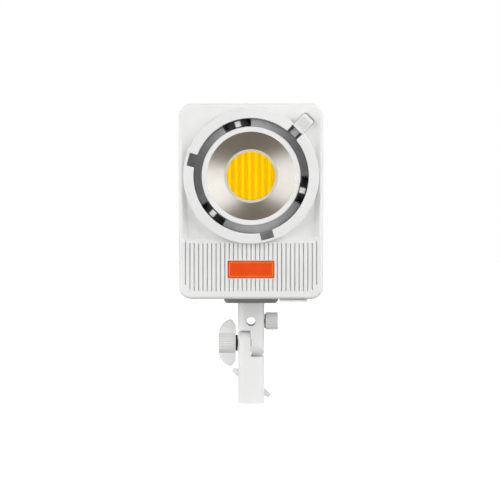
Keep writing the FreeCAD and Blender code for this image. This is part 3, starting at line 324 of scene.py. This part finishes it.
def enamel(name, colour, coat):
    """Baked enamel with a slight orange peel and darker pooling at its rim."""
    g = Graph(name)
    drift = g.range(g.noise(9 * MM, 3.0), 0.3, 0.7)
    tone = g.blend(drift, shade(colour, 0.92), shade(colour, 1.06))
    tone = g.blend(g.math("MULTIPLY", g.edges(0.5 * MM), 0.7), tone, shade(colour, 0.45))
    flakes = g.range(g.cells(0.35 * MM), 0.25, 0.05)
    tone = g.blend(g.math("MULTIPLY", flakes, 0.10), tone, shade(colour, 1.4))
    g.set(Base_Color=tone, Roughness=g.range(g.noise(4 * MM, 3.0), 0.3, 0.7, 0.34, 0.44),
          Specular_IOR_Level=0.25, Normal=g.bump(g.noise(1.2 * MM, 2.0), 0.012 * MM, g.bevel(0.25 * MM)),
          Coat_Weight=coat, Coat_Roughness=0.10)
    return g.material


def circuit_board():
    """Solder mask over copper tracks, with pads and vias."""
    g = Graph("board_green")
    tracks = g.cells(3.2 * MM, "DISTANCE_TO_EDGE")
    copper = g.range(tracks, 0.06, 0.09)
    base = g.blend(copper, rgb(0.020, 0.150, 0.055), rgb(0.010, 0.085, 0.035))
    vias = g.range(g.cells(5.1 * MM), 0.11, 0.09)
    tone = g.blend(vias, base, rgb(0.55, 0.50, 0.36))
    g.set(Base_Color=tone, Metallic=vias, Roughness=g.range(g.noise(3 * MM), 0.3, 0.7, 0.28, 0.42),
          Normal=g.bump(copper, 0.02 * MM, g.bevel(0.15 * MM)), Coat_Weight=0.3, Coat_Roughness=0.2)
    return g.material


def wound_tape():
    """Yellow tape wound round a coil: overlapping turns with thin dark edges."""
    g = Graph("transformer_tape")
    tape_width = 4.4 * MM
    turns = g.math("FRACT", g.math("MULTIPLY", g.axis("Z"), 1.0 / tape_width))
    lap = g.range(g.math("ABSOLUTE", g.math("SUBTRACT", turns, 0.5)), 0.44, 0.49)
    wrinkle = g.noise(2.0 * MM, 4.0, g.stretch((1.0, 1.0, 3.0)))
    tone = g.blend(g.range(wrinkle, 0.3, 0.7), rgb(0.62, 0.47, 0.06), rgb(0.74, 0.60, 0.12))
    tone = g.blend(g.math("MULTIPLY", lap, 0.7), tone, rgb(0.30, 0.20, 0.03))
    g.set(Base_Color=tone, Roughness=g.range(wrinkle, 0.3, 0.7, 0.30, 0.45),
          Normal=g.bump(g.math("SUBTRACT", wrinkle, lap), 0.06 * MM, g.bevel(0.4 * MM)))
    return g.material


def smoked_glass():
    """Tinted display window with faint smears."""
    g = Graph("display_glass")
    smears = g.range(g.noise(11 * MM, 5.0, g.stretch((1.0, 1.0, 2.2))), 0.48, 0.75)
    g.set(Base_Color=g.blend(smears, rgb(0.30, 0.33, 0.37), rgb(0.42, 0.45, 0.48)),
          Transmission_Weight=0.92, IOR=1.49, Roughness=g.range(smears, 0.0, 1.0, 0.03, 0.14),
          Normal=g.bevel(0.3 * MM))
    return g.material


def glowing(name, colour, strength):
    """Backlit segment: bright in the middle, uneven towards its ends."""
    g = Graph(name)
    uneven = g.range(g.noise(2.5 * MM, 3.0), 0.3, 0.7)
    tone = g.blend(uneven, shade(colour, 0.75), colour)
    g.set(Base_Color=tone, Emission_Color=tone, Emission_Strength=strength, Roughness=0.4)
    return g.material


def printed(name, colour):
    """Screen-printed ink with slightly patchy cover."""
    g = Graph(name)
    patches = g.range(g.noise(0.8 * MM, 4.0), 0.35, 0.65)
    g.set(Base_Color=g.blend(patches, shade(colour, 0.85), colour),
          Roughness=g.range(patches, 0.0, 1.0, 0.55, 0.42),
          Normal=g.bump(patches, 0.01 * MM))
    return g.material


def floor_paper():
    """Seamless paper: pale, with a barely visible fibre."""
    g = Graph("floor_paper")
    fibre = g.noise(1.5 * MM, 4.0)
    cloud = g.noise(600 * MM, 2.0)
    tone = g.blend(g.range(cloud, 0.3, 0.7), rgb(0.90, 0.90, 0.90), rgb(0.93, 0.93, 0.93))
    g.set(Base_Color=tone, Roughness=0.85, Normal=g.bump(fibre, 0.03 * MM),
          Emission_Color=tone, Emission_Strength=0.9)
    return g.material


MATERIALS = {
    "cover_white": moulded("cover_white", WHITE, 0.50),
    "housing_white": powder_coat("housing_white", shade(WHITE, 0.985), 0.46),
    "bracket_white": powder_coat("bracket_white", shade(WHITE, 1.06), 0.44,
                                 painted_shade_above=FOOT_BOTTOM),
    "handle_white": moulded("handle_white", shade(WHITE, 1.04), 0.48, 0.35 * MM, 0.02 * MM, flute_shade=0.5),
    "bezel_white": moulded("bezel_white", rgb(0.83, 0.83, 0.825), 0.38, coat=0.1),
    "bare_aluminium": turned("bare_aluminium", rgb(0.70, 0.70, 0.71), 0.46, 0.0, 0.5 * MM),
    "seat_anodised": turned("seat_anodised", rgb(0.45, 0.45, 0.455), 0.58, 0.95, 0.5 * MM),
    "tongue_zinc": moulded("tongue_zinc", rgb(0.42, 0.42, 0.43), 0.34, edge=0.2 * MM, wear=0.3),
    "reflector_satin": turned("reflector_satin", rgb(0.34, 0.335, 0.32), 0.30, 0.6, 0.35 * MM,
                              painted_glow=0.05),
    "spring_steel": leaf_steel(),
    "steel": metal("steel", rgb(0.50, 0.50, 0.52), 0.30),
    "brass": metal("brass", rgb(0.72, 0.55, 0.25), 0.28, tarnish=0.5),
    "copper": metal("copper", rgb(0.80, 0.42, 0.28), 0.30, tarnish=0.6),
    "phosphor_deep": phosphor("phosphor_deep", rgb(0.78, 0.43, 0.001), rgb(0.74, 0.39, 0.001)),
    "phosphor_pale": phosphor("phosphor_pale", rgb(0.90, 0.57, 0.001), rgb(0.88, 0.53, 0.001)),
    "dam_white": moulded("dam_white", rgb(0.70, 0.66, 0.50), 0.34, 0.9 * MM, coat=0.1),
    "badge_orange": enamel("badge_orange", rgb(0.82, 0.070, 0.003), 0.06),
    "black_plastic": moulded("black_plastic", rgb(0.022, 0.022, 0.023), 0.48, 0.4 * MM, 0.02 * MM,
                             wear=0.5, drift=0.12),
    "washer_dark": moulded("washer_dark", rgb(0.030, 0.030, 0.031), 0.62, 0.6 * MM, 0.02 * MM,
                           drift=0.15),
    "button_grey": moulded("button_grey", rgb(0.26, 0.26, 0.27), 0.62, 0.3 * MM, 0.015 * MM),
    "board_green": circuit_board(),
    "transformer_tape": wound_tape(),
    "lead_red": moulded("lead_red", rgb(0.50, 0.022, 0.018), 0.42, 0.8 * MM, coat=0.2),
    "display_black": moulded("display_black", rgb(0.008, 0.009, 0.012), 0.22, coat=0.4),
    "display_glass": smoked_glass(),
    "port_steel": metal("port_steel", rgb(0.62, 0.62, 0.64), 0.24),
}


def dress_cad_nodes():
    """Gives every CAD node the material of its slot in the record."""
    slots = {part["node"]: part["material_slot"] for part in frame["record"]["subparts"]}
    slots["latch_slider"] = "cover_white"          # its ridges take the cover's finish, with less painted shade in them
    for name, node in frame["nodes"].items():
        for holder in node.material_slots:
            holder.material = MATERIALS[slots[name]]


# ---------------------------------------------------------------- mesh helpers

def new_piece(name, mesh, material, body):
    """An object for a finished mesh, with its material, riding on a body."""
    mesh.name = name
    made = bpy.data.objects.new(name, mesh)
    bpy.context.scene.collection.objects.link(made)
    mesh.materials.append(material)
    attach(made, body)
    return made


def finish_mesh(shape, smooth=True):
    """Turns a bmesh into a mesh with outward faces."""
    bmesh.ops.recalc_face_normals(shape, faces=shape.faces)
    mesh = bpy.data.meshes.new("mesh")
    shape.to_mesh(mesh)
    shape.free()
    for polygon in mesh.polygons:
        polygon.use_smooth = smooth
    return mesh


def rounded_outline(width, height, corner, steps=6):
    """Points round a rectangle with arcs at its corners, anticlockwise, about its centre."""
    points = []
    for turn, (sx, sz) in enumerate(((1, 1), (-1, 1), (-1, -1), (1, -1))):
        for step in range(steps + 1):
            angle = math.radians(90 * turn + 90 * step / steps)
            points.append((sx * (width / 2 - corner) + corner * math.cos(angle),
                           sz * (height / 2 - corner) + corner * math.sin(angle)))
    return points


def loft(shape, rings):
    """Joins closed rings of points into a tube of faces, without end caps."""
    built = [[shape.verts.new(point) for point in ring] for ring in rings]
    for first, second in zip(built, built[1:]):
        count = len(first)
        for i in range(count):
            shape.faces.new((first[i], first[(i + 1) % count],
                             second[(i + 1) % count], second[i]))
    return built


# ---------------------------------------------------------------- emitter

def gel_bead(shape, x0, x1, radius, base_y, rise, seed):
    """One dispensed stripe of gel: crowned across, uneven along, cut off by the round field."""
    across, along = 7, 44                  # points over the width and down the length
    sway, ripple_share, pucker_share, taper = 0.05, 0.16, 0.10, 1.2 * MM
    wobble = random.Random(seed)
    phases = [wobble.uniform(0, 2 * math.pi) for _ in range(4)]
    grid = []
    for i in range(across):
        u = -1 + 2 * i / (across - 1)
        row = []
        for j in range(along):
            v = -1 + 2 * j / (along - 1)
            drift = sway * (x1 - x0) * math.sin(5.0 * v + phases[0]) * (1 - u * u)
            x = (x0 + x1) / 2 + u * (x1 - x0) / 2 + drift
            half = math.sqrt(max(0.0, radius ** 2 - x ** 2))
            z = v * half
            ripple = 1.0 + ripple_share * math.sin(9 * v + phases[1])
            ripple += pucker_share * math.sin(23 * v + phases[2])
            ends = min(1.0, (1 - abs(v)) * half / taper)
            crown = math.sqrt(max(0.0, 1 - u * u)) * math.sqrt(max(0.0, ends))
            row.append(shape.verts.new((AXIS.x + x, base_y - rise * crown * ripple, AXIS.z + z)))
        grid.append(row)
    for i in range(across - 1):
        for j in range(along - 1):
            shape.faces.new((grid[i][j], grid[i + 1][j], grid[i + 1][j + 1], grid[i][j + 1]))
    edge = [grid[i][0] for i in range(across)]
    edge += [grid[-1][j] for j in range(1, along)]
    edge += [grid[i][-1] for i in range(across - 2, -1, -1)]
    edge += [grid[0][j] for j in range(along - 2, 0, -1)]
    back_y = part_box("phosphor_warm")[1].y
    under = [shape.verts.new((v.co.x, back_y, v.co.z)) for v in edge]
    count = len(edge)
    for i in range(count):
        shape.faces.new((edge[i], edge[(i + 1) % count], under[(i + 1) % count], under[i]))
    shape.faces.new(under)


def gel_stripes(name, node, slot, first, pitch, count, rise):
    """Every second stripe of the emitter, standing for one flat CAD node."""
    bedding, narrowest = 0.15 * MM, 0.3 * MM
    radius = size("phosphor_warm").z / 2
    reach = radius * 0.995
    base_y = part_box(node)[0].y + bedding
    shape = bmesh.new()
    for i in range(first, count, 2):
        x0 = max((i - count / 2) * pitch, -reach)
        x1 = min((i - count / 2 + 1) * pitch, reach)
        if x1 - x0 > narrowest:
            gel_bead(shape, x0, x1, radius, base_y, rise, i)
    piece = new_piece(name, finish_mesh(shape), MATERIALS[slot], "head")
    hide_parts(node)


# ---------------------------------------------------------------- badge

def badge_border():
    """Thin raised line just inside the badge's edge."""
    low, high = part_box("badge")
    inset, line, rise, sink, soft = 1.5 * MM, 0.9 * MM, 0.18 * MM, 0.1 * MM, 0.12 * MM
    centre = middle("badge")
    width = high.x - low.x - 2 * inset
    height = high.z - low.z - 2 * inset

    def ring(shrink, y):
        return [(centre.x + x, y, centre.z + z)
                for x, z in rounded_outline(width - 2 * shrink, height - 2 * shrink,
                                            0.9 * MM - shrink * 0.6)]

    sunk = low.y + sink
    top = low.y - rise
    shape = bmesh.new()
    rings = [ring(0, sunk), ring(0, top + soft), ring(soft, top), ring(line - soft, top),
             ring(line, top + soft), ring(line, sunk)]
    built = loft(shape, rings)
    count = len(built[0])
    for i in range(count):
        shape.faces.new((built[-1][i], built[-1][(i + 1) % count],
                         built[0][(i + 1) % count], built[0][i]))
    new_piece("badge_border", finish_mesh(shape), enamel("badge_line", rgb(1.0, 0.20, 0.055), 0.2),
              "head")


# ---------------------------------------------------------------- marks on the back

def prism(shape, outline, front, back):
    """Closed plate between two planes across Y; each plane is a number or a function of z."""
    def level(plane, z):
        return plane(z) if callable(plane) else plane

    loops = [[shape.verts.new((x, level(plane, z), z)) for x, z in outline] for plane in (front, back)]
    count = len(outline)
    for i in range(count):
        j = (i + 1) % count
        shape.faces.new((loops[0][i], loops[0][j], loops[1][j], loops[1][i]))
    shape.faces.new(loops[0])
    shape.faces.new(loops[1][::-1])


def bar(x, z, length, width, upright=False):
    """Outline of a bar with pointed ends about a centre."""
    end = length / 2
    side = width / 2
    points = [(-end, 0), (-end + side, -side), (end - side, -side),
              (end, 0), (end - side, side), (-end + side, side)]
    return [(x + v, z + u) if upright else (x + u, z + v) for u, v in points]


def ring_quads(x, z, radius, line, count=28):
    """Outlines that together make a round line."""
    def at(r, i):
        angle = 2 * math.pi * i / count
        return (x + r * math.cos(angle), z + r * math.sin(angle))

    return [[at(radius - line, i), at(radius, i), at(radius, i + 1), at(radius - line, i + 1)]
            for i in range(count)]


# which of a digit's seven strokes are lit: top, upper left, upper right, middle, lower left,
# lower right, bottom
DIGITS = {"0": "1110111", "1": "0010010", "5": "1101011", "6": "1101111"}


def digit_bars(digit, x, z, height, line):
    """Lit strokes of one digit, seen from behind the light, where +X is on the left."""
    width = height * 0.5
    places = [(0, 0.5, False), (1, 0.25, True), (-1, 0.25, True), (0, 0, False),
              (1, -0.25, True), (-1, -0.25, True), (0, -0.5, False)]
    found = []
    for lit, (side, rise, upright) in zip(DIGITS[digit], places):
        if lit == "1":
            length = (height / 2 if upright else width) - 0.3 * line
            found.append(bar(x + side * width / 2, z + rise * height, length, line, upright))
    return found


def display_readout():
    """Brightness and colour temperature as plain numbers, over a row of level bars."""
    numbers = (("100", 20 * MM, 9 * MM), ("5600", -4 * MM, 6 * MM))    # text, start, height
    digit_pitch, stroke, digits_up = 0.78, 0.13, 3 * MM
    levels, first_level, level_pitch, levels_down = 10, 0.36, 0.08, 7 * MM
    gap, thickness = 0.05 * MM, 0.2 * MM
    centre = middle("display_window")
    width = size("display_module").x
    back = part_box("display_module")[1].y + gap
    front = back + thickness
    shape = bmesh.new()
    for text, start, height in numbers:
        for i, digit in enumerate(text):
            x = centre.x + start - i * height * digit_pitch
            for outline in digit_bars(digit, x, centre.z + digits_up, height, height * stroke):
                prism(shape, outline, front, back)
    for i in range(levels):
        x = centre.x + width * (first_level - level_pitch * i)
        prism(shape, bar(x, centre.z - levels_down, 2.6 * MM, 0.9 * MM), front, back)
    new_piece("display_readout", finish_mesh(shape, smooth=False),
              glowing("readout", rgb(0.55, 0.85, 1.0), 3.0), "head")


def button_marks():
    """A ring, an arrow and three bars printed on the three buttons."""
    ink = printed("key_ink", rgb(0.85, 0.85, 0.85))
    proud, sunk = 0.03 * MM, 0.05 * MM
    arrow = [(0.9, 0.0), (-0.6, 0.9), (-0.6, -0.9)]        # in millimetres about the button's centre
    bar_pitch = 0.85 * MM
    for node, body in (("button_mode", "mode_key"), ("button_back", "back_key"),
                       ("button_menu", "menu_key")):
        centre, face = middle(node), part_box(node)[1].y
        shape = bmesh.new()
        if node == "button_mode":
            outlines = ring_quads(centre.x, centre.z, 1.2 * MM, 0.35 * MM)
        elif node == "button_back":
            outlines = [[(centre.x + x * MM, centre.z + z * MM) for x, z in arrow]]
        else:
            outlines = [bar(centre.x, centre.z + i * bar_pitch, 2.6 * MM, 0.32 * MM)
                        for i in (-1, 0, 1)]
        for outline in outlines:
            prism(shape, outline, face + proud, face - sunk)
        new_piece(node + "_mark", finish_mesh(shape, smooth=False), ink, body)


def rocker_marks():
    """A bar above and a ring below on the power switch's two slopes."""
    crease_depth, bottom_depth, proud, thickness = 2.0 * MM, 1.8 * MM, 0.03 * MM, 0.1 * MM
    low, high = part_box("rocker")
    centre = middle("rocker")
    crease_y, top_y, bottom_y = high.y - crease_depth, high.y, high.y - bottom_depth
    half = (high.z - low.z) / 2

    def face(z):
        share = abs(z - centre.z) / half
        far = top_y if z > centre.z else bottom_y
        return crease_y + share * (far - crease_y) + proud

    def root(z):
        return face(z) - thickness

    shape = bmesh.new()
    outlines = [bar(centre.x, centre.z + half * 0.5, 2.4 * MM, 0.4 * MM, upright=True)]
    outlines += ring_quads(centre.x, centre.z - half * 0.5, 1.3 * MM, 0.4 * MM)
    for outline in outlines:
        prism(shape, outline, face, root)
    new_piece("rocker_marks", finish_mesh(shape, smooth=False), printed("rocker_ink", rgb(0.8, 0.8, 0.8)),
              "power_rocker")


# ---------------------------------------------------------------- floor, lights, camera

def floor():
    """Wide sheet of pale paper well below the light."""
    half, drop = 6.0, 0.12
    shape = bmesh.new()
    corners = [(x, y, -drop) for x, y in ((-half, -half), (half, -half), (half, half), (-half, half))]
    shape.faces.new([shape.verts.new(c) for c in corners])
    made = bpy.data.objects.new("floor", finish_mesh(shape, smooth=False))
    made.data.materials.append(floor_paper())
    made.visible_diffuse = False
    made.visible_glossy = False
    bpy.context.scene.collection.objects.link(made)


def softbox(name, azimuth, elevation, distance, width, height, radiance, aim):
    """Rectangular soft light aimed at a point, seen from that point at an azimuth and elevation."""
    a, e = math.radians(azimuth), math.radians(elevation)
    towards = Vector((math.sin(a) * math.cos(e), -math.cos(a) * math.cos(e), math.sin(e)))
    lamp = bpy.data.lights.new(name, "AREA")
    lamp.shape = "RECTANGLE"
    lamp.size = width
    lamp.size_y = height
    lamp.energy = math.pi * width * height * radiance
    made = bpy.data.objects.new(name, lamp)
    made.location = aim + towards * distance
    made.rotation_euler = (-towards).to_track_quat("-Z", "Y").to_euler()
    bpy.context.scene.collection.objects.link(made)


def studio_air():
    """White surroundings for the eye, and a weaker glow, nearly even, for the light they give."""
    world = bpy.data.worlds.new("studio")
    bpy.context.scene.world = world
    world.use_nodes = True
    tree = world.node_tree
    glow = tree.nodes["Background"]
    reach, glow_below, glow_above = 0.5, 0.34, 0.32
    direction = tree.nodes.new("ShaderNodeTexCoord")
    split = tree.nodes.new("ShaderNodeSeparateXYZ")
    climb = tree.nodes.new("ShaderNodeMapRange")
    tree.links.new(direction.outputs["Generated"], split.inputs[0])
    tree.links.new(split.outputs["Z"], climb.inputs["Value"])
    for key, number in (("From Min", -reach), ("From Max", reach),
                        ("To Min", glow_below), ("To Max", glow_above)):
        climb.inputs[key].default_value = number
    tree.links.new(climb.outputs["Result"], glow.inputs["Strength"])
    backdrop = tree.nodes.new("ShaderNodeBackground")
    backdrop.inputs["Strength"].default_value = 1.0
    for shader in (glow, backdrop):
        shader.inputs["Color"].default_value = rgb(1.0, 1.0, 1.0)
    ray = tree.nodes.new("ShaderNodeLightPath")
    choice = tree.nodes.new("ShaderNodeMixShader")
    tree.links.new(ray.outputs["Is Camera Ray"], choice.inputs[0])
    tree.links.new(glow.outputs[0], choice.inputs[1])
    tree.links.new(backdrop.outputs[0], choice.inputs[2])
    tree.links.new(choice.outputs[0], tree.nodes["World Output"].inputs["Surface"])


# name, azimuth and elevation in degrees, distance, width and height in metres, radiance
LAMPS = (
    ("softbox_left", -58, 6, 1.5, 1.6, 1.85, 2.3),
    ("softbox_right", 58, 17, 1.5, 1.6, 1.75, 2.5),
    ("low_fill", 0, -28, 1.6, 1.6, 0.4, 3.0),
    ("top_bank", 180, 72, 1.7, 1.4, 0.7, 1.2),
    ("rear_left", -140, 25, 1.8, 1.0, 1.2, 2.6),
    ("rear_right", 140, 25, 1.8, 1.0, 1.2, 2.6),
)


def lights():
    """Two softboxes well to the sides, a weak low fill in front, one light above and two behind."""
    below_axis = 50 * MM
    aim = Vector((0.0, FACE_Y, AXIS.z - below_axis))
    for lamp in LAMPS:
        softbox(*lamp, aim)


def camera():
    """Long lens level with the optical axis, tipped down to take in the bracket."""
    focal_length, sensor = 138.6, 36.0                   # in millimetres
    distance, drop, shift = 2.0, 76.9 * MM, -1.1 * MM
    lens = bpy.data.cameras.new("camera")
    lens.lens = focal_length
    lens.sensor_width = sensor
    made = bpy.data.objects.new("camera", lens)
    aim = Vector((AXIS.x + shift, FLANGE_Y, AXIS.z - drop))
    made.location = Vector((AXIS.x, FLANGE_Y - distance, AXIS.z))
    made.rotation_euler = (aim - made.location).to_track_quat("-Z", "Y").to_euler()
    bpy.context.scene.collection.objects.link(made)
    bpy.context.scene.camera = made


# ---------------------------------------------------------------- assembly

dress_cad_nodes()

gel_stripes("gel_stripes_warm", "phosphor_warm", "phosphor_deep", 0, STRIPE_PITCH, STRIPE_COUNT, 0.45 * MM)
gel_stripes("gel_stripes_cool", "phosphor_cool", "phosphor_pale", 1, STRIPE_PITCH, STRIPE_COUNT, 0.6 * MM)
badge_border()
display_readout()
button_marks()
rocker_marks()

floor()
studio_air()
lights()
camera()
bpy.context.scene.view_settings.view_transform = "Standard"
